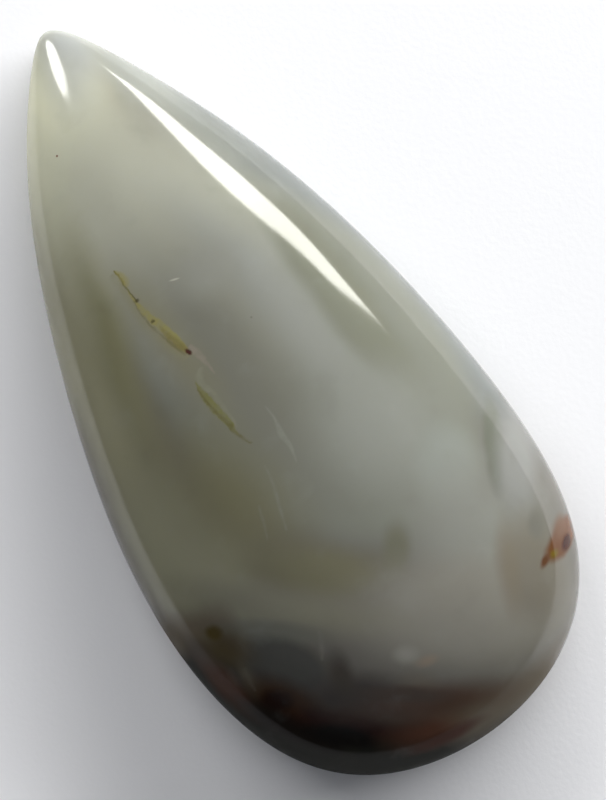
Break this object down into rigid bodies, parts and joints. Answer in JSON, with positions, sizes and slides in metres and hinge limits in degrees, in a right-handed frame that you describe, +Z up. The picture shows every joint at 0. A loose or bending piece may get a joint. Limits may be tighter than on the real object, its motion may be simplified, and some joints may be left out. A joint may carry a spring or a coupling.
{
  "type": "pear-shaped agate cabochon",
  "caption": "Pear-shaped cabochon of polished sage-grey agate with a domed face, a rounded girdle and a flat ground back, to lie on a surface or be set as a gem.",
  "frame": {"origin": "on the flat ground back, under the middle of the stone's bounding box", "axes": "+Y along the length, towards the pointed tip; +X across the width, towards the right flank seen from above; +Z up, out of the dome"},
  "size_m": [0.0222, 0.045, 0.0075],
  "materials": {
    "polished_agate": "polished"
  },
  "bodies": {
    "root": {"agate_cabochon": "polished_agate"}
  },
  "joints": []
}
